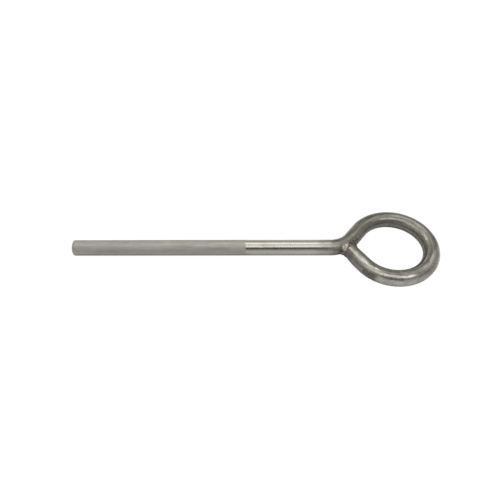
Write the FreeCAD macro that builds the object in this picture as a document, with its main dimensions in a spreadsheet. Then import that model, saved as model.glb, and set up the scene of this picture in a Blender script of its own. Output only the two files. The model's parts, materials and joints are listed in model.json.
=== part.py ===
import FreeCAD, Part

# Eye anchor: one length of round steel bar with an eye bent on its end, for a roof or wall fixing.
#
# The bar runs straight from its cut tip (the shank, which is bedded in the structure), turns out of line
# at the neck, goes round the eye and comes back to the neck, where its square-cut end butts against the
# bar's own flank. A tack in the crotch inside the eye and one in the notch outside it hold that butt, and
# a pass from each face closes the joint. The eye takes a shackle, a hook or a rope's thimble.
#
# Frame, in millimetres: the origin is the centre of the cut tip, +X runs along the shank to the eye, and
# the eye lies in the XY plane, so +Z is square to it. The neck turns towards +Y, and the tail comes back
# on the -Y side.

import math
import os

import Sketcher

SIZES = {
    "bar_dia": 16.0,  # round bar
    "overall_length": 370.0,  # cut tip to the far side of the eye
    "eye_bore": 60.0,  # clear width of the eye
    "neck_inside_radius": 20.0,  # former that the neck is bent round
    "neck_angle": 52.0,  # degrees from the shank to the first arm of the eye
    "tail_angle": 55.0,  # degrees from the shank to the returning tail
    "tip_chamfer": 0.6,  # broken edge of the cut tip
    "root_gap": 1.0,  # opening between the tail's end and the bar's flank, filled by the passes
    "pass_radius": 5.5,  # face passes: rounded mass of weld metal
    "top_shift": 2.5,  # top pass: centre's place along the joint, from its middle towards the notch
    "top_crown": 0.5,  # top pass: how far it stands above the bar
    "underside_shift": 0.8,  # underside pass: centre's place along the joint, as for the top pass
    "underside_dressing": 0.3,  # underside pass: how far it is dressed below the bar, so the eye lies flat
    "crotch_reach": 2.2,  # crotch tack: how far it fills the corner of the arm and the tail
    "crotch_stop": 5.12,  # crotch tack: where its root stops in the joint, short of the tail's outer flank
    "notch_radius": 6.5,  # notch tack: rounded mass of weld metal
    "notch_reach": 1.6,  # notch tack: how far it fills the corner of the neck and the tail
}

START, END, CENTRE = 1, 2, 3  # the points of a line or an arc, as the sketcher numbers them
X_AXIS = -1
ORIGIN = (-1, 1)
UP = FreeCAD.Vector(0, 0, 1)
# turns a sphere so that its poles lie inside the bars on either side of the joint, not on the weld's face
POLES_ALONG_Y = FreeCAD.Rotation(FreeCAD.Vector(1, 0, 0), 90)


def at(x, y):
    return FreeCAD.Vector(x, y, 0)


def make_sheet(doc):
    """The driving sizes, one row and one alias each."""
    sheet = doc.addObject("Spreadsheet::Sheet", "Sizes")
    for row, (name, value) in enumerate(SIZES.items(), 1):
        sheet.set(f"A{row}", name)
        sheet.set(f"B{row}", str(value))
        sheet.setAlias(f"B{row}", name)
    doc.recompute()
    return sheet


def new_sketch(body, name, role):
    """A sketch on one of its own body's origin planes."""
    sketch = body.newObject("Sketcher::SketchObject", name)
    plane = next(feature for feature in body.Origin.OriginFeatures if feature.Role == role)
    sketch.AttachmentSupport = [(plane, "")]
    sketch.MapMode = "FlatFace"
    return sketch


def tie(sketch, kind, *items):
    """A constraint without a value. Returns its number."""
    return sketch.addConstraint(Sketcher.Constraint(kind, *items))


def drive(sketch, name, expression, kind, *items):
    """A constraint whose value follows the sheet."""
    sketch.renameConstraint(tie(sketch, kind, *items), name)
    sketch.setExpression(f"Constraints.{name}", expression)


def measure(sketch, name, kind, *items):
    """A constraint that only reads a length, for other objects to use."""
    number = tie(sketch, kind, *items)
    sketch.renameConstraint(number, name)
    sketch.setDriving(number, False)


def first_layout(sheet):
    """The centre line's points at the sheet's sizes, which the sketch starts from."""
    half = sheet.bar_dia / 2
    out = math.radians(sheet.neck_angle)
    back = math.radians(sheet.tail_angle)
    neck_radius = sheet.neck_inside_radius + half
    eye_radius = sheet.eye_bore / 2 + half
    eye = at(sheet.overall_length - sheet.eye_bore / 2 - sheet.bar_dia, 0)
    apex = eye - at(eye_radius / math.sin(out), 0)
    neck_length = neck_radius * math.tan(out / 2)
    shank_end = apex - at(neck_length, 0)
    return {
        "out": out,
        "back": back,
        "neck_radius": neck_radius,
        "eye_radius": eye_radius,
        "eye": eye,
        "shank_end": shank_end,
        "neck": shank_end + at(0, neck_radius),
        "neck_end": apex + at(math.cos(out), math.sin(out)) * neck_length,
        "arm_end": eye + at(-math.sin(out), math.cos(out)) * eye_radius,
        "tail_start": eye - at(math.sin(back), math.cos(back)) * eye_radius,
        "tail_end": apex + at(math.cos(back), -math.sin(back)) * half,
        "crotch": apex + at(half / math.sin(out), 0),
        "notch": apex - at(0, half / math.cos(back / 2)),
    }


def draw_centre_line(body, sheet):
    """Shank, neck, first arm, eye and returning tail, all tangent, with the two corners of the joint."""
    line = first_layout(sheet)
    quarter = math.pi / 2
    neck_circle = Part.Circle(line["neck"], UP, line["neck_radius"])
    eye_circle = Part.Circle(line["eye"], UP, line["eye_radius"])
    tail_turn = -quarter - line["back"]
    sketch = new_sketch(body, "CentreLine", "XY_Plane")
    shank = sketch.addGeometry(Part.LineSegment(at(0, 0), line["shank_end"]))
    neck = sketch.addGeometry(Part.ArcOfCircle(neck_circle, -quarter, line["out"] - quarter))
    arm = sketch.addGeometry(Part.LineSegment(line["neck_end"], line["arm_end"]))
    eye = sketch.addGeometry(Part.ArcOfCircle(eye_circle, tail_turn, line["out"] + quarter))
    tail = sketch.addGeometry(Part.LineSegment(line["tail_start"], line["tail_end"]))

    tie(sketch, "Coincident", shank, START, *ORIGIN)
    tie(sketch, "Horizontal", shank)
    tie(sketch, "Tangent", shank, END, neck, START)
    tie(sketch, "Tangent", neck, END, arm, START)
    tie(sketch, "Tangent", arm, END, eye, END)
    tie(sketch, "Tangent", eye, START, tail, START)
    tie(sketch, "PointOnObject", eye, CENTRE, X_AXIS)
    drive(sketch, "neck_radius", "Sizes.neck_inside_radius + Sizes.bar_dia / 2",
          "Radius", neck, line["neck_radius"])
    drive(sketch, "eye_radius", "(Sizes.eye_bore + Sizes.bar_dia) / 2", "Radius", eye, line["eye_radius"])
    drive(sketch, "eye_x", "Sizes.overall_length - Sizes.bar_dia - Sizes.eye_bore / 2",
          "DistanceX", *ORIGIN, eye, CENTRE, line["eye"].x)
    drive(sketch, "neck_turn", "Sizes.neck_angle", "Angle", X_AXIS, START, arm, START, line["out"])
    drive(sketch, "tail_turn", "Sizes.tail_angle", "Angle", tail, END, X_AXIS, START, line["back"])

    # the tail stops on a circle that stands off the neck's flank by the root gap
    butt_radius = line["neck_radius"] + sheet.bar_dia / 2 + sheet.root_gap
    butt = sketch.addGeometry(Part.Circle(line["neck"], UP, butt_radius), True)
    tie(sketch, "Coincident", butt, CENTRE, neck, CENTRE)
    tie(sketch, "PointOnObject", tail, END, butt)
    drive(sketch, "butt_radius", "Sizes.neck_inside_radius + Sizes.bar_dia + Sizes.root_gap",
          "Radius", butt, butt_radius)
    measure(sketch, "butt_x", "DistanceX", *ORIGIN, tail, END, line["tail_end"].x)
    measure(sketch, "butt_y", "DistanceY", *ORIGIN, tail, END, line["tail_end"].y)

    # a circle as wide as the bar that touches two centre lines is centred on the corner of their flanks
    for name, other in (("crotch", arm), ("notch", neck)):
        corner = sketch.addGeometry(Part.Circle(line[name], UP, sheet.bar_dia / 2), True)
        tie(sketch, "Tangent", corner, tail)
        tie(sketch, "Tangent", corner, other)
        drive(sketch, f"{name}_corner", "Sizes.bar_dia / 2", "Radius", corner, sheet.bar_dia / 2)
        measure(sketch, f"{name}_x", "DistanceX", *ORIGIN, corner, CENTRE, line[name].x)
        measure(sketch, f"{name}_y", "DistanceY", *ORIGIN, corner, CENTRE, line[name].y)
    return sketch


def make_bar(doc, sheet):
    """The round bar, swept along its centre line, with the cut tip's edge broken."""
    body = doc.addObject("PartDesign::Body", "Bar")
    body.Label = "bent_bar"
    centre_line = draw_centre_line(body, sheet)
    section = new_sketch(body, "Section", "YZ_Plane")
    circle = section.addGeometry(Part.Circle(at(0, 0), UP, sheet.bar_dia / 2))
    tie(section, "Coincident", circle, CENTRE, *ORIGIN)
    drive(section, "bar_dia", "Sizes.bar_dia", "Diameter", circle, sheet.bar_dia)
    doc.recompute()
    sweep = body.newObject("PartDesign::AdditivePipe", "Sweep")
    sweep.Profile = section
    sweep.Spine = centre_line
    doc.recompute()
    tip = min(range(len(sweep.Shape.Edges)), key=lambda i: sweep.Shape.Edges[i].BoundBox.XMax)
    chamfer = body.newObject("PartDesign::Chamfer", "TipChamfer")
    chamfer.Base = (sweep, [f"Edge{tip + 1}"])
    chamfer.setExpression("Size", "Sizes.tip_chamfer")
    body.Tip = chamfer
    doc.recompute()
    return body, centre_line


def reading(name):
    """A length measured in the centre line's sketch, as a plain number for an expression."""
    return f"CentreLine.Constraints.{name} / 1 mm"


def along_joint(shift):
    """Expressions for the place that lies shift from the middle of the tail's end towards the notch."""
    return (
        f"{reading('butt_x')} - {shift} * sin(Sizes.tail_angle * 1 deg)",
        f"{reading('butt_y')} - {shift} * cos(Sizes.tail_angle * 1 deg)",
    )


def make_metal(doc, name, radius, place):
    """The rounded mass of one run of weld metal."""
    metal = doc.addObject("Part::Sphere", name)
    metal.Placement.Rotation = POLES_ALONG_Y
    metal.setExpression("Radius", radius)
    for axis, expression in zip("xyz", place):
        metal.setExpression(f"Placement.Base.{axis}", expression)
    return metal


def make_half(doc, name, shift, bottom):
    """A block that takes up the half of the bar's depth which a face pass doesn't fill."""
    half = doc.addObject("Part::Box", name)
    for side in ("Length", "Width", "Height"):
        half.setExpression(side, "4 * Sizes.pass_radius")
    for axis, expression in zip("xy", along_joint(shift)):
        half.setExpression(f"Placement.Base.{axis}", f"{expression} - 2 * Sizes.pass_radius")
    half.setExpression("Placement.Base.z", bottom)
    return half


def trim(doc, name, metal, tools):
    """Cuts weld metal back to what it joins and to the metal laid before it, so that faces only meet."""
    shape = metal
    for number, tool in enumerate(tools, 1):
        cut = doc.addObject("Part::Cut", f"{name}_cut{number}")
        cut.Base = shape
        cut.Tool = tool
        shape = cut
    shape.Label = name
    return shape


def radius_between(toe, root):
    """Expression for the radius of a mass whose surface passes through its toe, its point furthest
    along +X, and through its root."""
    run = f"({toe[0]} - ({root[0]}))"
    rise = f"({toe[1]} - ({root[1]}))"
    return f"({run} * {run} + {rise} * {rise}) / (2 * {run})"


def make_welds(doc, bar):
    """The two tacks, which are laid first, and the two face passes."""
    toe = (f"{reading('crotch_x')} + Sizes.crotch_reach", reading("crotch_y"))
    crotch_radius = radius_between(toe, along_joint("(Sizes.bar_dia / 2 - Sizes.crotch_stop)"))
    crotch = make_metal(
        doc, "CrotchMetal", crotch_radius, (f"{toe[0]} - {crotch_radius}", toe[1], "0"))
    notch = make_metal(
        doc, "NotchMetal", "Sizes.notch_radius",
        (reading("notch_x"), f"{reading('notch_y')} - Sizes.notch_reach + Sizes.notch_radius", "0"))
    rise = "Sizes.bar_dia / 2 - Sizes.pass_radius"
    top = make_metal(
        doc, "TopMetal", "Sizes.pass_radius",
        (*along_joint("Sizes.top_shift"), f"{rise} + Sizes.top_crown"))
    underside = make_metal(
        doc, "UndersideMetal", "Sizes.pass_radius",
        (*along_joint("Sizes.underside_shift"), f"-({rise} - Sizes.underside_dressing)"))
    lower_half = make_half(doc, "LowerHalf", "Sizes.top_shift", "-4 * Sizes.pass_radius")
    upper_half = make_half(doc, "UpperHalf", "Sizes.underside_shift", "0")
    welds = [
        trim(doc, "weld_crotch", crotch, [bar]),
        trim(doc, "weld_notch", notch, [crotch, bar]),
        trim(doc, "weld_top", top, [lower_half, crotch, notch, bar]),
        trim(doc, "weld_underside", underside, [upper_half, crotch, notch, bar]),
    ]
    doc.recompute()
    return welds


def check(doc, parts):
    """Stops on any object that failed to build and on any part that isn't one valid solid."""
    for item in doc.Objects:
        if "Invalid" in item.State or "Error" in item.State:
            raise RuntimeError(f"{item.Label}: {item.State}")
    for part in parts:
        shape = part.Shape
        if shape.isNull() or not shape.isValid() or len(shape.Solids) != 1:
            raise RuntimeError(f"{part.Label}: not one valid solid")


def main():
    doc = FreeCAD.newDocument("EyeAnchor")
    sheet = make_sheet(doc)
    bar, centre_line = make_bar(doc, sheet)
    parts = [bar] + make_welds(doc, bar)
    check(doc, parts)
    line = centre_line.Shape.Length
    print(f"bar: {line:.1f} mm of {sheet.bar_dia:g} mm round, {bar.Shape.Volume:.0f} mm3")
    os.makedirs("parts", exist_ok=True)
    for part in parts:
        part.Shape.exportStep(f"parts/{part.Label}.step")


main()
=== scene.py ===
import json
import math

import bmesh
import bpy
from mathutils import Matrix, Vector, noise


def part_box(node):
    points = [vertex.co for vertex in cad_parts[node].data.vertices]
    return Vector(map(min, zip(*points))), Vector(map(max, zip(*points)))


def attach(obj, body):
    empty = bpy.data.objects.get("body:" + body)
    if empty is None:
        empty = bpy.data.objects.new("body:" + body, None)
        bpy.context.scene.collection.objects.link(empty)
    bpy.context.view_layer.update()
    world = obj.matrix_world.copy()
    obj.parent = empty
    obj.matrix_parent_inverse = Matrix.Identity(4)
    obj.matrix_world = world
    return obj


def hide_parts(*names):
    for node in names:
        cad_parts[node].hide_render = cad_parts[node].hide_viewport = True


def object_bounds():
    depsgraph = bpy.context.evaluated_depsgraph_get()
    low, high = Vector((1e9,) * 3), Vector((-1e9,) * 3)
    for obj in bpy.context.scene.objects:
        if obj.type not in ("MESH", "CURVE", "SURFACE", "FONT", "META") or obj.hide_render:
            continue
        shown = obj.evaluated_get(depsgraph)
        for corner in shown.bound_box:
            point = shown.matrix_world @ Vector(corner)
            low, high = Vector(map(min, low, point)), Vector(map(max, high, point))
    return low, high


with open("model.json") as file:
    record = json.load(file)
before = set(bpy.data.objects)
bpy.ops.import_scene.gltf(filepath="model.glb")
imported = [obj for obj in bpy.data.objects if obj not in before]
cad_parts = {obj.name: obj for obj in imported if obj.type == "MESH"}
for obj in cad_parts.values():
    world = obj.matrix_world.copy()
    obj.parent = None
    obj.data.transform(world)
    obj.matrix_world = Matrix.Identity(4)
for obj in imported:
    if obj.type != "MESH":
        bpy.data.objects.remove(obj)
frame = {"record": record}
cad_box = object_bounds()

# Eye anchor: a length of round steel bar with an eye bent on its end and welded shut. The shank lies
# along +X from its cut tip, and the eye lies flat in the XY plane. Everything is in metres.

MM = 0.001

# ---------------------------------------------------------------- sizes

MOUNTS = {mount["name"]: mount for mount in frame["record"]["mounts"]}
BAR_RADIUS = MOUNTS["shank"]["dims"]["r_mm"] * MM
EYE_CENTRE = Vector(MOUNTS["eye"]["pos_m"])
EYE_RADIUS = MOUNTS["eye"]["dims"]["r_mm"] * MM + BAR_RADIUS  # to the bar's centre line
NECK_RADIUS = 20 * MM + BAR_RADIUS  # to the bar's centre line, round the former at the neck
OUT_ANGLE = math.radians(52)  # from the shank to the first arm of the eye
BACK_ANGLE = math.radians(55)  # from the shank to the returning tail
ROOT_GAP = 1 * MM  # between the tail's end and the neck's flank, filled with weld metal

TIP_CHAMFER = 0.2 * MM
TAIL_CHAMFER = 0.5 * MM
AROUND = 96  # faces round the bar
SHANK_STEP = 3 * MM  # between the mesh's rings
BEND_STEP = 1.2 * MM

# Distances along the bar from its tip, as if it were still straight.
MATT_END = 176.4 * MM  # blasted for bedding in mortar or resin up to here
WORKED_FROM = 243 * MM  # scuffed and heat-stained by the bending beyond here
WORKED_FULL = 272 * MM
PRESS_MARK = (486.5 * MM, math.radians(17))  # a dent from the bending tool: distance, angle from outside
PRESS_SIZE = (3.6 * MM, 2.0 * MM, 0.45 * MM)  # half length, half height, depth
MELT_LENGTH = 15 * MM  # how far from the joint the weld melted the tail's outer corner
MELT_DEPTH = 1.3 * MM
UNEVEN = 0.012 * MM  # how far the drawn bar strays from a true round
UNEVEN_WORKED = 0.06 * MM  # how much further where it was bent
SCUFF_DEPTH = 0.018 * MM


# ---------------------------------------------------------------- the bar's line

def ahead(heading):
    return Vector((math.cos(heading), math.sin(heading), 0))


def left_of(heading):
    return Vector((-math.sin(heading), math.cos(heading), 0))


def bar_runs():
    """The bar from tip to tail as (length, turn to the left): shank, neck, arm, eye and tail."""
    corner = NECK_RADIUS * math.tan(OUT_ANGLE / 2)
    shank = EYE_CENTRE.x - EYE_RADIUS / math.sin(OUT_ANGLE) - corner
    arm = EYE_RADIUS / math.tan(OUT_ANGLE) - corner
    eye_turn = math.pi + OUT_ANGLE + BACK_ANGLE
    # the tail runs from the eye towards the neck, and stops short of its flank
    tail_start = EYE_CENTRE - Vector((math.sin(BACK_ANGLE), math.cos(BACK_ANGLE), 0)) * EYE_RADIUS
    neck_centre = Vector((shank, NECK_RADIUS, 0))
    offset = tail_start - neck_centre
    reach = NECK_RADIUS + BAR_RADIUS + ROOT_GAP
    along = offset.dot(ahead(math.pi - BACK_ANGLE))
    tail = -along - math.sqrt(along * along - offset.length_squared + reach * reach)
    return [
        (shank, 0),
        (NECK_RADIUS * OUT_ANGLE, OUT_ANGLE),
        (arm, 0),
        (EYE_RADIUS * eye_turn, -eye_turn),
        (tail, 0),
    ]


RUNS = bar_runs()
BAR_LENGTH = sum(length for length, _ in RUNS)


def on_line(distance):
    """The centre line's point and heading at a distance from the tip."""
    point = Vector((0, 0, 0))
    heading = 0.0
    for length, turn in RUNS:
        step = min(distance, length)
        if turn:
            radius = length / turn
            centre = point + left_of(heading) * radius
            heading += step / radius
            point = centre - left_of(heading) * radius
        else:
            point = point + ahead(heading) * step
        distance -= step
        if distance <= 0:
            break
    return point, heading


JOINT, JOINT_HEADING = on_line(BAR_LENGTH)  # the middle of the tail's end, and the way the tail faces
ALONG_JOINT = left_of(JOINT_HEADING)  # across the tail's end, from the crotch towards the notch
TO_NECK = ahead(JOINT_HEADING)  # from the tail's end towards the neck's flank


# ---------------------------------------------------------------- shader helpers

def plug(tree, value, socket):
    """Links a socket, or sets a plain value."""
    if isinstance(value, bpy.types.NodeSocket):
        tree.links.new(value, socket)
    elif socket.type == "RGBA" and len(value) == 3:
        socket.default_value = (*value, 1)
    else:
        socket.default_value = value


def add_math(tree, operation, *values):
    node = tree.nodes.new("ShaderNodeMath")
    node.operation = operation
    for value, socket in zip(values, node.inputs):
        plug(tree, value, socket)
    return node.outputs[0]


def add_vector_math(tree, operation, *values, output="Vector"):
    node = tree.nodes.new("ShaderNodeVectorMath")
    node.operation = operation
    for value, socket in zip(values, node.inputs):
        plug(tree, value, socket)
    return node.outputs[output]


def add_ramp(tree, value, low, high, at_low=0.0, at_high=1.0):
    """A smooth step from one value to another."""
    node = tree.nodes.new("ShaderNodeMapRange")
    node.interpolation_type = "SMOOTHSTEP"
    for socket, item in zip(node.inputs, (value, low, high, at_low, at_high)):
        plug(tree, item, socket)
    return node.outputs[0]


def add_blend(tree, factor, low, high, kind="RGBA"):
    """Mixes two colours, or two values when kind is FLOAT."""
    node = tree.nodes.new("ShaderNodeMix")
    node.data_type = kind
    ends = [socket for socket in node.inputs if socket.enabled and socket.name in "AB"]
    plug(tree, factor, node.inputs[0])
    plug(tree, low, ends[0])
    plug(tree, high, ends[1])
    return next(socket for socket in node.outputs if socket.enabled)


def multiply(tree, *values):
    """The product of two or more values."""
    result = values[0]
    for value in values[1:]:
        result = add_math(tree, "MULTIPLY", result, value)
    return result


def between(tree, value, limits):
    """Rises from 0 to 1 over the first two limits and falls over the last two, in millimetres."""
    rise_from, rise_to, fall_from, fall_to = (limit * MM for limit in limits)
    rise = add_ramp(tree, value, rise_from, rise_to)
    fall = add_ramp(tree, value, fall_to, fall_from)
    return multiply(tree, rise, fall)


def paint(tree, base, color, mask, share=1.0):
    """Lays a colour over another where the mask is 1, as strong as the share."""
    return add_blend(tree, multiply(tree, mask, share), base, color)


def mottle(tree, pattern, low_color, high_color, spread=0.15):
    """Two colours mixed by a pattern that varies about one half."""
    return add_blend(tree, add_ramp(tree, pattern, 0.5 - spread, 0.5 + spread), low_color, high_color)


def add_noise(tree, vector, scale, detail=3.0, roughness=0.55):
    """Noise that changes this many times in a metre."""
    node = tree.nodes.new("ShaderNodeTexNoise")
    plug(tree, vector, node.inputs["Vector"])
    plug(tree, scale, node.inputs["Scale"])
    plug(tree, detail, node.inputs["Detail"])
    plug(tree, roughness, node.inputs["Roughness"])
    return node.outputs["Fac"]


def streaks(tree, vector, per_metre, detail=3.0, roughness=0.55):
    """Noise that changes at its own rate along each axis."""
    return add_noise(tree, add_vector_math(tree, "MULTIPLY", vector, per_metre), 1.0, detail, roughness)


def new_group(name, inputs, outputs):
    """A node group with its sockets, each given as (name, kind): its tree, inputs and outputs."""
    group = bpy.data.node_groups.new(name, "ShaderNodeTree")
    for direction, sockets in (("INPUT", inputs), ("OUTPUT", outputs)):
        for label, kind in sockets:
            group.interface.new_socket(name=label, in_out=direction, socket_type=f"NodeSocket{kind}")
    entry = group.nodes.new("NodeGroupInput")
    leave = group.nodes.new("NodeGroupOutput")
    return group, entry.outputs, leave.inputs


def use_group(tree, group, **values):
    """Places a group. Underscores in the names stand for spaces."""
    node = tree.nodes.new("ShaderNodeGroup")
    node.node_tree = group
    for name, value in values.items():
        plug(tree, value, node.inputs[name.replace("_", " ")])
    return node.outputs


def new_material(name):
    material = bpy.data.materials.new(name)
    material.use_nodes = True
    tree = material.node_tree
    tree.nodes.clear()
    output = tree.nodes.new("ShaderNodeOutputMaterial")
    shader = tree.nodes.new("ShaderNodeBsdfPrincipled")
    tree.links.new(shader.outputs["BSDF"], output.inputs["Surface"])
    return material, tree, shader


def bump(tree, shader, height, distance):
    node = tree.nodes.new("ShaderNodeBump")
    node.inputs["Distance"].default_value = distance
    node.inputs["Strength"].default_value = 1
    plug(tree, height, node.inputs["Height"])
    tree.links.new(node.outputs["Normal"], shader.inputs["Normal"])


# ---------------------------------------------------------------- effects that several finishes share

def scale_group():
    """Patches of mill scale and soot: a mask of where they lie, and a finer mottle inside them."""
    tree, given, wanted = new_group(
        "mill scale",
        [("Vector", "Vector"), ("Patch Scale", "Float"), ("Cover", "Float")],
        [("Mask", "Float"), ("Mottle", "Float")])
    patches = add_noise(tree, given["Vector"], given["Patch Scale"], 5.0, 0.62)
    edge = add_math(tree, "SUBTRACT", 1.0, given["Cover"])
    low = add_math(tree, "MULTIPLY_ADD", edge, 0.5, 0.17)
    high = add_math(tree, "ADD", low, 0.16)
    plug(tree, add_ramp(tree, patches, low, high), wanted["Mask"])
    fine = add_math(tree, "MULTIPLY", given["Patch Scale"], 5.0)
    plug(tree, add_noise(tree, given["Vector"], fine, 4.0, 0.6), wanted["Mottle"])
    return tree


def heat_group():
    """Temper colours round the weld: how hot each place was, and the colour that it turned."""
    tree, given, wanted = new_group(
        "weld heat",
        [("Vector", "Vector"), ("Reach", "Float")],
        [("Heat", "Float"), ("Colour", "Color")])
    offset = add_vector_math(tree, "SUBTRACT", given["Vector"], tuple(JOINT))
    away = add_vector_math(tree, "LENGTH", offset, output="Value")
    stray = add_noise(tree, given["Vector"], 260.0, 4.0, 0.6)
    stray = add_math(tree, "MULTIPLY_ADD", stray, 9 * MM, -4.5 * MM)
    away = add_math(tree, "ADD", away, stray)
    share = add_math(tree, "DIVIDE", away, given["Reach"])
    plug(tree, add_ramp(tree, share, 1.0, 0.72), wanted["Heat"])
    ramp = tree.nodes.new("ShaderNodeValToRGB")
    stops = ramp.color_ramp.elements
    stops[0].position = 0.3
    stops[0].color = (0.13, 0.12, 0.106, 1)
    stops[1].position = 1.0
    stops[1].color = (0.15, 0.15, 0.133, 1)
    for position, color in (
            (0.5, (0.165, 0.148, 0.128)),
            (0.68, (0.118, 0.116, 0.103)),
            (0.85, (0.165, 0.16, 0.135))):
        stops.new(position).color = (*color, 1)
    plug(tree, share, ramp.inputs["Fac"])
    plug(tree, ramp.outputs["Color"], wanted["Colour"])
    return tree


MILL_SCALE = scale_group()
WELD_HEAT = heat_group()


# ---------------------------------------------------------------- finishes

# Where the marks of bending and handling lie, and where highlights and reflections are painted, in
# millimetres: along the bar from its tip, or across it from its crown outwards.
FAR_SIDE = (335, 350, 378, 392)
FAR_CROWN = (-2.6, -1.8, 0.8, 1.8)
TURN_BACK = (404, 413, 430, 438)
TURN_CROWN = (-0.8, 0.4, 3.2, 4.2)
LOW_SIDE = (436, 450, 472, 479)
SMUDGE = (476, 480, 482, 485)
TAIL_HIGHLIGHT_CREST = (1.0, 1.7, 2.5, 3.3)
TAIL_REFLECTION_BAND = (2.4, 3.2, 5.2, 6.4)
JOINT_CROWN = (0, 1.0, 3.2, 4.4)

HEAT_ON_BAR = 16 * MM  # how far from the joint the heat stained the bar
HEAT_ON_WELD = 14 * MM
SOOT_AND_SHADE_FROM = 10.5 * MM  # how far from the crotch the soot and painted shade reach
SOOT_AND_SHADE_FULL = 8.0 * MM


def blasted_color(tree, unbent, grain):
    """Even grey with a fine grain. The drawn lines show through it as faint streaks and blotches."""
    cloud = add_noise(tree, unbent, 140.0, 4.0)
    ghost = streaks(tree, unbent, (38, 420, 420), 4.0, 0.6)
    color = mottle(tree, cloud, (0.268, 0.258, 0.23), (0.313, 0.302, 0.275), 0.2)
    color = paint(tree, color, (0.33, 0.32, 0.292), add_ramp(tree, grain, 0.35, 0.65))
    color = paint(tree, color, (0.232, 0.222, 0.196), add_ramp(tree, ghost, 0.5, 0.3), 0.55)
    return paint(tree, color, (0.39, 0.38, 0.348), add_ramp(tree, ghost, 0.52, 0.72), 0.6)


def drawn_color(tree, unbent, lines):
    """Fine lines that run along the bar, and faint stains."""
    stain = streaks(tree, unbent, (60, 120, 120), 4.0)
    color = mottle(tree, lines, (0.285, 0.275, 0.245), (0.345, 0.335, 0.305), 0.2)
    return paint(tree, color, (0.225, 0.21, 0.17), add_ramp(tree, stain, 0.52, 0.75), 0.8)


def rubbed_color(tree, along, drag, broad):
    """Steel that bending rubbed: duller towards the neck, and cleaner towards the tail."""
    dull = mottle(tree, broad, (0.135, 0.13, 0.118), (0.19, 0.185, 0.168))
    clean = mottle(tree, broad, (0.23, 0.225, 0.205), (0.35, 0.34, 0.31))
    color = add_blend(tree, add_ramp(tree, along, 330 * MM, 445 * MM), dull, clean)
    color = paint(tree, color, (0.31, 0.30, 0.275), add_ramp(tree, drag, 0.5, 0.72), 0.75)
    return paint(tree, color, (0.11, 0.105, 0.093), add_ramp(tree, drag, 0.5, 0.3), 0.6)


def scale_and_shade_color(tree, along, drag, broad, inner):
    """Dark scale. On the eye's inner wall the scale is darkened further as painted shade, and paler at the
    far side than at the near side as a painted reflection of the floor.
    """
    color = mottle(tree, broad, (0.065, 0.062, 0.055), (0.12, 0.115, 0.10))
    color = paint(tree, color, (0.15, 0.145, 0.13), add_ramp(tree, drag, 0.5, 0.75))
    # painted reflection of the floor on the far wall, painted shade on the near wall, both over the scale
    far_wall_reflection = mottle(tree, drag, (0.105, 0.10, 0.09), (0.235, 0.225, 0.205))
    near_wall_shade = mottle(tree, drag, (0.042, 0.041, 0.036), (0.085, 0.082, 0.072))
    wall = add_blend(tree, add_ramp(tree, along, 390 * MM, 430 * MM), far_wall_reflection, near_wall_shade)
    return add_blend(tree, inner, color, wall)


def scale_cover(tree, along, sway, inner, patches):
    """How much of the bent bar is under scale or painted shade: its crown, the eye's inner wall, where both
    lie, and part of the tail.
    """
    # the rubbed stretch starts nearer the crown where the eye turns back towards the tail
    crown_edge = add_ramp(tree, along, 430 * MM, 515 * MM, 4.4 * MM, -0.5 * MM)
    past_crown = add_math(tree, "SUBTRACT", sway, crown_edge)
    crown = multiply(
        tree, add_ramp(tree, past_crown, 0.0, -1.2 * MM), add_ramp(tree, sway, -3.9 * MM, -2.7 * MM))
    # the tail's outer side was never rubbed clean next to the joint
    sooty_tail = multiply(
        tree, add_ramp(tree, along, 470 * MM, 486 * MM), add_ramp(tree, sway, 3.0 * MM, 4.4 * MM))
    cover = multiply(tree, patches, 0.4)
    for mask, share in ((inner, 0.95), (crown, 0.8), (sooty_tail, 0.72)):
        cover = add_math(tree, "MAXIMUM", cover, multiply(tree, mask, share))
    return cover


def specks_and_stains(tree, color, unbent, specks):
    """Scale specks, a faint olive cast and spots of rust."""
    olive = streaks(tree, unbent, (110, 190, 190))
    rust = add_noise(tree, add_vector_math(tree, "ADD", unbent, (0.3, 0.7, 0.1)), 260.0, 4.0, 0.6)
    color = paint(tree, color, (0.085, 0.078, 0.06), specks["Mask"], 0.45)
    color = paint(tree, color, (0.165, 0.16, 0.136), add_ramp(tree, olive, 0.55, 0.72), 0.4)
    return paint(tree, color, (0.13, 0.085, 0.065), add_ramp(tree, rust, 0.66, 0.74), 0.7)


def press_mark(tree, color, unbent):
    """Soot in the dent that the bending tool left, darkest round its rim."""
    distance, angle = PRESS_MARK
    half_length, half_height, _ = PRESS_SIZE
    mark = Vector((distance, BAR_RADIUS * math.cos(angle), BAR_RADIUS * math.sin(angle)))
    offset = add_vector_math(tree, "SUBTRACT", unbent, tuple(mark))
    offset = add_vector_math(tree, "MULTIPLY", offset, (1 / half_length, 1 / half_height, 1 / half_height))
    away = add_vector_math(tree, "LENGTH", offset, output="Value")
    rim = multiply(tree, add_ramp(tree, away, 1.15, 0.85), add_ramp(tree, away, 0.3, 0.75, 0.45, 1.0))
    return paint(tree, color, (0.045, 0.042, 0.037), rim, 0.8)


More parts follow.
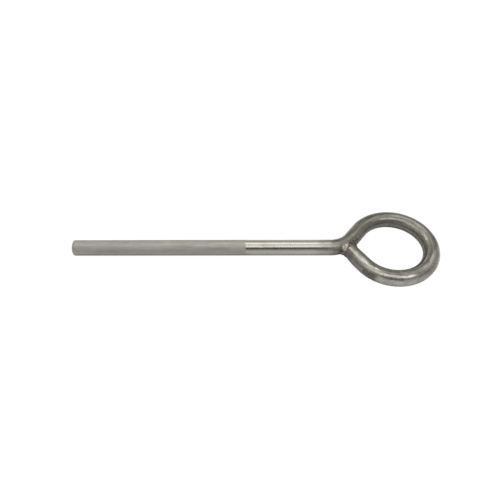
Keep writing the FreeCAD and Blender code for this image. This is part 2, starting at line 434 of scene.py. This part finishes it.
def bar_finish():
    """Three finishes along one bar: blasted matt, drawn smooth, and worked by bending and heat."""
    material, tree, shader = new_material("bar steel")
    shader.inputs["Metallic"].default_value = 1
    attribute = tree.nodes.new("ShaderNodeAttribute")
    attribute.attribute_name = "unbent"
    unbent = attribute.outputs["Vector"]
    place = tree.nodes.new("ShaderNodeTexCoord").outputs["Object"]
    split = tree.nodes.new("ShaderNodeSeparateXYZ")
    plug(tree, unbent, split.inputs[0])
    along, side, up = split.outputs

    # how far each finish reaches
    ragged = streaks(tree, unbent, (300, 700, 700), 2.0)
    ragged = add_math(tree, "MULTIPLY_ADD", ragged, 1.6 * MM, along)
    matt = add_ramp(tree, ragged, MATT_END + 0.5 * MM, MATT_END + 1.1 * MM, 1.0, 0.0)
    wander = add_noise(tree, unbent, 90.0, 3.0)
    wander = add_math(tree, "MULTIPLY_ADD", wander, 26 * MM, along)
    worked = add_ramp(tree, wander, WORKED_FROM + 13 * MM, WORKED_FULL + 13 * MM)

    # patterns: grain of the blasting, lines of the drawing, marks dragged along the bends
    grain = add_noise(tree, unbent, 2600.0, 2.0, 0.7)
    lines = streaks(tree, unbent, (14, 1700, 1700), 3.0, 0.6)
    drag = streaks(tree, unbent, (26, 900, 900), 3.0, 0.6)
    broad = streaks(tree, unbent, (90, 260, 260), 4.0, 0.6)
    scale = use_group(tree, MILL_SCALE, Vector=unbent, Patch_Scale=130.0, Cover=0.5)
    specks = use_group(tree, MILL_SCALE, Vector=unbent, Patch_Scale=430.0, Cover=0.42)
    sway = add_math(tree, "MULTIPLY_ADD", add_math(tree, "SUBTRACT", broad, 0.5), 5 * MM, side)
    sway = add_math(tree, "MULTIPLY_ADD", add_math(tree, "SUBTRACT", drag, 0.5), 3 * MM, sway)

    # worked: scale on the crown and inside the bends, with painted shade on the eye's inner wall, rubbed
    # paler outside
    inner = add_ramp(tree, sway, -3.9 * MM, -5.0 * MM)
    cover = scale_cover(tree, along, sway, inner, scale["Mask"])
    rubbed = rubbed_color(tree, along, drag, broad)
    bent = add_blend(tree, cover, rubbed, scale_and_shade_color(tree, along, drag, broad, inner))
    bent = specks_and_stains(tree, bent, unbent, specks)
    bent = press_mark(tree, bent, unbent)
    on_tail = add_ramp(tree, along, 442 * MM, 475 * MM)
    # painted highlight: a paler, glossier strip along the tail's crest, where the front softbox's
    # reflection lies
    painted_crest_highlight = multiply(tree, on_tail, between(tree, sway, TAIL_HIGHLIGHT_CREST))
    smudge = multiply(
        tree, between(tree, along, SMUDGE), add_ramp(tree, side, 5.6 * MM, 6.8 * MM),
        add_ramp(tree, specks["Mottle"], 0.4, 0.55, 0.35, 0.8))
    # painted reflection: a faintly paler band beside the tail's crest
    painted_reflection_band = multiply(tree, on_tail, between(tree, sway, TAIL_REFLECTION_BAND))
    # painted highlights: paler streaks on the far side of the eye and where it turns back, and a patch of
    # painted light on its low side
    painted_far_highlight = multiply(tree, between(tree, along, FAR_SIDE), between(tree, sway, FAR_CROWN))
    painted_turn_highlight = multiply(tree, between(tree, along, TURN_BACK), between(tree, sway, TURN_CROWN))
    painted_light_patch = multiply(tree, between(tree, along, LOW_SIDE), add_ramp(tree, sway, 5.2 * MM, 6.6 * MM))
    # the tail is painted darker towards the joint, most on its inner side
    darker_near_joint = multiply(
        tree, add_ramp(tree, along, 484 * MM, 505 * MM),
        add_ramp(tree, sway, 3.0 * MM, -2.0 * MM, 0.25, 0.8))
    for mask, share, mark_color in (
            (smudge, 1.0, (0.06, 0.057, 0.047)),
            (painted_reflection_band, 0.15, (0.36, 0.345, 0.32)),
            (painted_crest_highlight, 0.4, (0.48, 0.46, 0.42)),
            (darker_near_joint, 1.0, (0.15, 0.145, 0.13)),
            (painted_far_highlight, 0.4, (0.31, 0.30, 0.275)),
            (painted_turn_highlight, 0.42, (0.34, 0.33, 0.30)),
            (painted_light_patch, 0.4, (0.37, 0.375, 0.35))):
        bent = paint(tree, bent, mark_color, mask, share)

    # heat stains round the joint, except on the crown of the tail, which was wiped clean
    heat = use_group(tree, WELD_HEAT, Vector=place, Reach=HEAT_ON_BAR)
    wiped = multiply(tree, add_ramp(tree, along, 490 * MM, 494 * MM), between(tree, sway, JOINT_CROWN))
    burnt = multiply(tree, heat["Heat"], add_math(tree, "SUBTRACT", 1.0, wiped))
    # soot with drops of metal in it on the flanks beside the crotch, darkened further as painted shade in
    # the crotch
    crotch = JOINT - ALONG_JOINT * 7.5 * MM + TO_NECK * 3.0 * MM
    beside = add_vector_math(tree, "SUBTRACT", place, tuple(crotch))
    beside = add_vector_math(tree, "LENGTH", beside, output="Value")
    drops = add_ramp(tree, add_noise(tree, place, 900.0, 2.0, 0.6), 0.5, 0.62)
    soot = add_blend(tree, drops, (0.075, 0.072, 0.062), (0.27, 0.26, 0.23))

    color = add_blend(tree, matt, drawn_color(tree, unbent, lines), blasted_color(tree, unbent, grain))
    color = add_blend(tree, worked, color, bent)
    color = paint(tree, color, heat["Colour"], burnt, 0.85)
    color = paint(tree, color, soot, add_ramp(tree, beside, SOOT_AND_SHADE_FROM, SOOT_AND_SHADE_FULL), 0.8)
    # painted shade: the underside is painted darker, standing in for the shadow beneath the bar
    color = paint(tree, color, (0.06, 0.058, 0.05), add_ramp(tree, up, -0.5 * MM, -3.5 * MM), 0.6)
    plug(tree, color, shader.inputs["Base Color"])

    gloss = add_blend(tree, add_ramp(tree, lines, 0.3, 0.75), 0.17, 0.26, "FLOAT")
    bent_gloss = add_blend(tree, cover, 0.22, 0.42, "FLOAT")
    for mask, roughness in ((matt, 0.7), (worked, bent_gloss), (painted_crest_highlight, 0.2), (burnt, 0.5)):
        gloss = add_blend(tree, mask, gloss, roughness, "FLOAT")
    plug(tree, gloss, shader.inputs["Roughness"])

    scuffs = add_math(tree, "MULTIPLY_ADD", drag, 0.6, broad)
    height = add_math(tree, "MULTIPLY_ADD", lines, 0.25, multiply(tree, grain, matt))
    height = add_math(tree, "MULTIPLY_ADD", multiply(tree, scuffs, worked), 2.0, height)
    height = add_math(tree, "MULTIPLY_ADD", multiply(tree, scale["Mottle"], burnt), 3.0, height)
    bump(tree, shader, height, 0.03 * MM)
    return material


def cut_finish():
    """Saw-cut ends: straight saw marks across bare steel."""
    material, tree, shader = new_material("saw-cut steel")
    shader.inputs["Metallic"].default_value = 1
    place = tree.nodes.new("ShaderNodeTexCoord").outputs["Object"]
    marks = streaks(tree, place, (200, 300, 3500))
    scale = use_group(tree, MILL_SCALE, Vector=place, Patch_Scale=260.0, Cover=0.35)
    color = mottle(tree, marks, (0.25, 0.24, 0.22), (0.36, 0.35, 0.33), 0.2)
    color = paint(tree, color, (0.16, 0.14, 0.11), scale["Mask"], 0.5)
    plug(tree, color, shader.inputs["Base Color"])
    plug(tree, add_ramp(tree, marks, 0.3, 0.7, 0.3, 0.45), shader.inputs["Roughness"])
    bump(tree, shader, marks, 0.06 * MM)
    return material


def weld_finish(name, dark, pale, cover, gloss):
    """Weld metal: bright where it set clean, sooty and brown where slag and smoke stayed on it."""
    material, tree, shader = new_material(name)
    shader.inputs["Metallic"].default_value = 1
    place = tree.nodes.new("ShaderNodeTexCoord").outputs["Object"]
    scale = use_group(tree, MILL_SCALE, Vector=place, Patch_Scale=330.0, Cover=cover)
    heat = use_group(tree, WELD_HEAT, Vector=place, Reach=HEAT_ON_WELD)
    clean = mottle(tree, scale["Mottle"], tuple(0.6 * part for part in pale), pale, 0.1)
    color = add_blend(tree, scale["Mask"], clean, dark)
    color = paint(tree, color, heat["Colour"], heat["Heat"], 0.15)
    plug(tree, color, shader.inputs["Base Color"])
    plug(tree, add_blend(tree, scale["Mask"], gloss, gloss + 0.22, "FLOAT"), shader.inputs["Roughness"])
    bump(tree, shader, scale["Mottle"], 0.12 * MM)
    return material


# ---------------------------------------------------------------- the bar

def add_piece(name, shape, finishes, node):
    """Makes a piece from a function that fills a bmesh, in place of a node of the CAD model."""
    bm = bmesh.new()
    shape(bm)
    bmesh.ops.recalc_face_normals(bm, faces=bm.faces)
    for face in bm.faces:
        face.smooth = True
    mesh = bpy.data.meshes.new(name)
    bm.to_mesh(mesh)
    bm.free()
    for finish in finishes:
        mesh.materials.append(finish)
    piece = bpy.data.objects.new(name, mesh)
    bpy.context.scene.collection.objects.link(piece)
    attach(piece, "root")
    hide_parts(node)
    return piece


def smooth_step(low, high, value):
    share = min(max((value - low) / (high - low), 0.0), 1.0)
    return share * share * (3 - 2 * share)


def ring_distances():
    """Where the bar's mesh has a ring: close together where it bends."""
    found = [TIP_CHAMFER]
    start = 0.0
    for length, _ in RUNS:
        step = BEND_STEP if start else SHANK_STEP
        count = max(1, round(length / step))
        found += [start + length * (k + 1) / count for k in range(count)]
        start += length
    found[-1] = BAR_LENGTH - TAIL_CHAMFER
    return found


def stand_off(distance, side, up):
    """How far the bar's skin stands out from a true round."""
    worked = smooth_step(WORKED_FROM, WORKED_FULL, distance)
    lumps = noise.fractal(Vector((distance * 90, side * 140, up * 140)), 0.7, 2.1, 3)
    fine = noise.fractal(Vector((distance * 420, side * 420, up * 420)), 0.8, 2.1, 2)
    dent_at, dent_angle = PRESS_MARK
    half_length, half_height, depth = PRESS_SIZE
    across = (math.atan2(up, side) - dent_angle) * BAR_RADIUS
    away = math.hypot((distance - dent_at) / half_length, across / half_height)
    dent = depth * (1 - smooth_step(0.35, 1.0, away))
    melted = MELT_DEPTH * smooth_step(BAR_LENGTH - MELT_LENGTH, BAR_LENGTH, distance)
    melted *= smooth_step(0.2, 0.85, side / BAR_RADIUS)
    rough = lumps * (UNEVEN + UNEVEN_WORKED * worked) + fine * SCUFF_DEPTH * worked
    return rough - dent - melted


def shape_bar(bm):
    """A straight round bar, bent along its line. Each point keeps its place on the straight bar."""
    unbent = bm.verts.layers.float_vector.new("unbent")
    circle = bmesh.ops.create_circle(
        bm, cap_ends=False, segments=AROUND, radius=BAR_RADIUS - TIP_CHAMFER,
        matrix=Matrix.Rotation(math.pi / 2, 4, "Y"))
    edges = list({edge for vert in circle["verts"] for edge in vert.link_edges})
    bmesh.ops.contextual_create(bm, geom=edges)
    at = 0.0
    radius = BAR_RADIUS - TIP_CHAMFER
    for distance in ring_distances() + [BAR_LENGTH]:
        grown = bmesh.ops.extrude_edge_only(bm, edges=edges)["geom"]
        ring = [item for item in grown if isinstance(item, bmesh.types.BMVert)]
        edges = [item for item in grown if isinstance(item, bmesh.types.BMEdge)]
        bmesh.ops.translate(bm, verts=ring, vec=(distance - at, 0, 0))
        wanted = BAR_RADIUS - (TAIL_CHAMFER if distance == BAR_LENGTH else 0)
        bmesh.ops.scale(bm, verts=ring, vec=(1, wanted / radius, wanted / radius))
        at = distance
        radius = wanted
    bmesh.ops.contextual_create(bm, geom=edges)
    for face in bm.faces:
        face.material_index = 1 if len(face.verts) == AROUND else 0
    for vert in bm.verts:
        vert[unbent] = vert.co
        distance, side, up = vert.co
        swell = 1 + stand_off(distance, side, up) / BAR_RADIUS
        point, heading = on_line(distance)
        vert.co = point + left_of(heading) * side * swell + Vector((0, 0, up * swell))


# ---------------------------------------------------------------- weld metal

CROTCH_METAL = 7.5 * MM  # radius of each rounded mass
NOTCH_METAL = 6.5 * MM
PASS_METAL = 5.5 * MM
CROTCH_SHIFT = Vector((0, -0.7, 0)) * MM
NOTCH_SHIFT = Vector((-0.2, -0.8, 0.6)) * MM
TOP_METAL = (5.0 * MM, 4.9 * MM, 5.2 * MM)  # half sizes across the tail, along it and up
TOP_DEPTH = 5.6 * MM  # from the top of the bead down to the mass's centre
CRATER = (1.1 * MM, 0.55 * MM)  # radius and depth of the pit that the arc left
RIPPLE_PITCH = 2.3 * MM


def weld_mass(centre, radii, lump, ripple, seed, craters=()):
    """Returns the shape of one run of weld metal: a rounded mass with ripples across its run, and pits
    where the arc broke off."""
    shift = Vector((3.1, 7.3, 5.7)) * seed

    def shape(bm):
        bmesh.ops.create_icosphere(bm, subdivisions=6, radius=1)
        turn = Matrix.Rotation(math.atan2(ALONG_JOINT.y, ALONG_JOINT.x), 3, "Z")
        for vert in bm.verts:
            out = turn @ vert.co
            point = centre + turn @ Vector(part * radius for part, radius in zip(vert.co, radii))
            rise = noise.fractal(point * 330 + shift, 0.75, 2.1, 4) * lump
            rise += ripple * math.cos((point - JOINT).dot(ALONG_JOINT) * 2 * math.pi / RIPPLE_PITCH)
            for place, width, depth in craters:
                rise -= depth * (1 - smooth_step(0.2, 1.0, (point - place).length / width))
            vert.co = point + out * rise
    return shape


# ---------------------------------------------------------------- stage, light and camera

def add_to_scene(item):
    bpy.context.scene.collection.objects.link(item)
    return item


FLOOR_SIZE = 4  # half its width
FLOOR_GLOW = 1.04
FLOOR_FADE = 0.94  # how far the glow hides the shadows


def add_floor():
    """A pale floor that lights the object like paper, and that the camera sees as almost white."""
    bm = bmesh.new()
    bmesh.ops.create_grid(bm, x_segments=1, y_segments=1, size=FLOOR_SIZE)
    bmesh.ops.translate(bm, verts=bm.verts, vec=(EYE_CENTRE.x / 2, 0, cad_box[0][2]))
    mesh = bpy.data.meshes.new("floor")
    bm.to_mesh(mesh)
    bm.free()
    material, tree, shader = new_material("pale floor")
    shader.inputs["Base Color"].default_value = (0.8, 0.8, 0.8, 1)
    shader.inputs["Roughness"].default_value = 1
    shader.inputs["Specular IOR Level"].default_value = 0
    glow = tree.nodes.new("ShaderNodeEmission")
    glow.inputs["Strength"].default_value = FLOOR_GLOW
    light_path = tree.nodes.new("ShaderNodeLightPath")
    mix = tree.nodes.new("ShaderNodeMixShader")
    plug(tree, multiply(tree, light_path.outputs["Is Camera Ray"], FLOOR_FADE), mix.inputs["Fac"])
    tree.links.new(shader.outputs["BSDF"], mix.inputs[1])
    tree.links.new(glow.outputs["Emission"], mix.inputs[2])
    output = next(node for node in tree.nodes if node.type == "OUTPUT_MATERIAL")
    tree.links.new(mix.outputs["Shader"], output.inputs["Surface"])
    mesh.materials.append(material)
    add_to_scene(bpy.data.objects.new("floor", mesh))


PANEL_HEIGHT = 1.0
PANEL_LENGTH = 1.8
PANEL_COLOR = (1.0, 0.985, 0.955)


def add_panel(name, from_angle, to_angle, radiance):
    """A softbox overhead that faces down and spans these angles above the front of the floor."""
    near = -PANEL_HEIGHT / math.tan(math.radians(from_angle))
    far = -PANEL_HEIGHT / math.tan(math.radians(to_angle))
    light = bpy.data.lights.new(name, "AREA")
    light.shape = "RECTANGLE"
    light.size = PANEL_LENGTH
    light.size_y = far - near
    light.energy = radiance * math.pi * PANEL_LENGTH * (far - near)
    light.color = PANEL_COLOR
    lamp = add_to_scene(bpy.data.objects.new(name, light))
    lamp.location = (EYE_CENTRE.x / 2, (near + far) / 2, PANEL_HEIGHT)


ROOM_COLOR = (0.95, 0.945, 0.93)
ROOM_SHADE = (0.15, 0.155, 0.16)
SHADE_RISE = (math.radians(14), math.radians(31))  # the shade sets in between these angles
SHADE_FALL = (math.radians(70), math.radians(100))  # and clears between these


def add_room():
    """A pale room that is dark above the front of the floor, where the camera stands."""
    world = bpy.data.worlds.new("room")
    bpy.context.scene.world = world
    world.use_nodes = True
    tree = world.node_tree
    way = tree.nodes.new("ShaderNodeTexCoord").outputs["Generated"]
    split = tree.nodes.new("ShaderNodeSeparateXYZ")
    plug(tree, way, split.inputs[0])
    angle = add_math(tree, "ARCTAN2", split.outputs["Z"], multiply(tree, split.outputs["Y"], -1.0))
    sideways = add_math(tree, "ABSOLUTE", split.outputs["X"])
    shade = multiply(
        tree,
        add_ramp(tree, angle, *SHADE_RISE),
        add_ramp(tree, angle, *SHADE_FALL, 1.0, 0.0),
        add_ramp(tree, sideways, 0.2, 0.45, 1.0, 0.25))
    color = add_blend(tree, shade, ROOM_COLOR, ROOM_SHADE)
    seen = tree.nodes.new("ShaderNodeLightPath").outputs["Is Camera Ray"]
    color = add_blend(tree, seen, color, (1, 1, 1))
    background = tree.nodes["Background"]
    plug(tree, color, background.inputs["Color"])


CAMERA_AIM = Vector((180.7, -3.1, 0)) * MM
CAMERA_DISTANCE = 451.1 * MM
CAMERA_AZIMUTH = math.radians(3.13)  # from straight in front of the shank, towards the eye
CAMERA_ELEVATION = math.radians(51.19)
CAMERA_ROLL = math.radians(-2.52)
CAMERA_LENS = 32.04
CAMERA_SENSOR = 36


def add_camera():
    data = bpy.data.cameras.new("camera")
    data.lens = CAMERA_LENS
    data.sensor_width = CAMERA_SENSOR
    data.clip_start = 0.01
    camera = add_to_scene(bpy.data.objects.new("camera", data))
    level = math.cos(CAMERA_ELEVATION)
    back = Vector((
        math.sin(CAMERA_AZIMUTH) * level,
        -math.cos(CAMERA_AZIMUTH) * level,
        math.sin(CAMERA_ELEVATION)))
    stand = Matrix.Translation(CAMERA_AIM + back * CAMERA_DISTANCE)
    turn = back.to_track_quat("Z", "Y").to_matrix().to_4x4()
    camera.matrix_world = stand @ turn @ Matrix.Rotation(CAMERA_ROLL, 4, "Z")
    bpy.context.scene.camera = camera


# ---------------------------------------------------------------- assembly

saw_cut = cut_finish()
# The bright weld metal, on the top pass, is paler partly as painted light. The sooty one, in the crotch, in
# the notch and under the bar, is darker partly as painted shade.
bright_weld = weld_finish("bright weld metal", (0.15, 0.10, 0.075), (0.47, 0.425, 0.38), 0.33, 0.34)
sooty_shaded_weld = weld_finish("sooty and shaded weld metal", (0.035, 0.031, 0.027), (0.19, 0.178, 0.15), 0.52, 0.4)

add_piece("anchor_bar", shape_bar, [bar_finish(), saw_cut], "bent_bar")

crotch_low, crotch_high = (Vector(corner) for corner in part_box("weld_crotch"))
crotch_centre = Vector((crotch_high.x - CROTCH_METAL, (crotch_low.y + crotch_high.y) / 2, 0)) + CROTCH_SHIFT
add_piece(
    "crotch_weld",
    weld_mass(crotch_centre, (CROTCH_METAL,) * 3, lump=0.5 * MM, ripple=0.06 * MM, seed=1),
    [sooty_shaded_weld], "weld_crotch")

notch_low = Vector(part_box("weld_notch")[0])
notch_centre = Vector((notch_low.x + NOTCH_METAL, notch_low.y + NOTCH_METAL, 0)) + NOTCH_SHIFT
add_piece(
    "notch_weld",
    weld_mass(notch_centre, (NOTCH_METAL,) * 3, lump=0.45 * MM, ripple=0.06 * MM, seed=2),
    [sooty_shaded_weld], "weld_notch")

top_high = Vector(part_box("weld_top")[1])
top_centre = JOINT + ALONG_JOINT * 2.8 * MM + TO_NECK * 3.3 * MM
top_centre.z = top_high.z - TOP_DEPTH
crater = top_centre + Vector((-0.9, -3.4, 3.9)) * MM
add_piece(
    "top_weld",
    weld_mass(top_centre, TOP_METAL, lump=0.3 * MM, ripple=0.16 * MM, seed=3, craters=[(crater, *CRATER)]),
    [bright_weld], "weld_top")

under_low = Vector(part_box("weld_underside")[0])
under_centre = Vector((*(JOINT + ALONG_JOINT * 0.8 * MM).xy, under_low.z + PASS_METAL))
add_piece(
    "underside_weld",
    weld_mass(under_centre, (PASS_METAL,) * 3, lump=0.12 * MM, ripple=0.05 * MM, seed=4),
    [sooty_shaded_weld], "weld_underside")

add_floor()
add_panel("front softbox", from_angle=55.5, to_angle=86, radiance=2.2)
add_panel("back softbox", from_angle=98, to_angle=127, radiance=1.9)
add_room()
add_camera()
bpy.context.scene.view_settings.view_transform = "Standard"
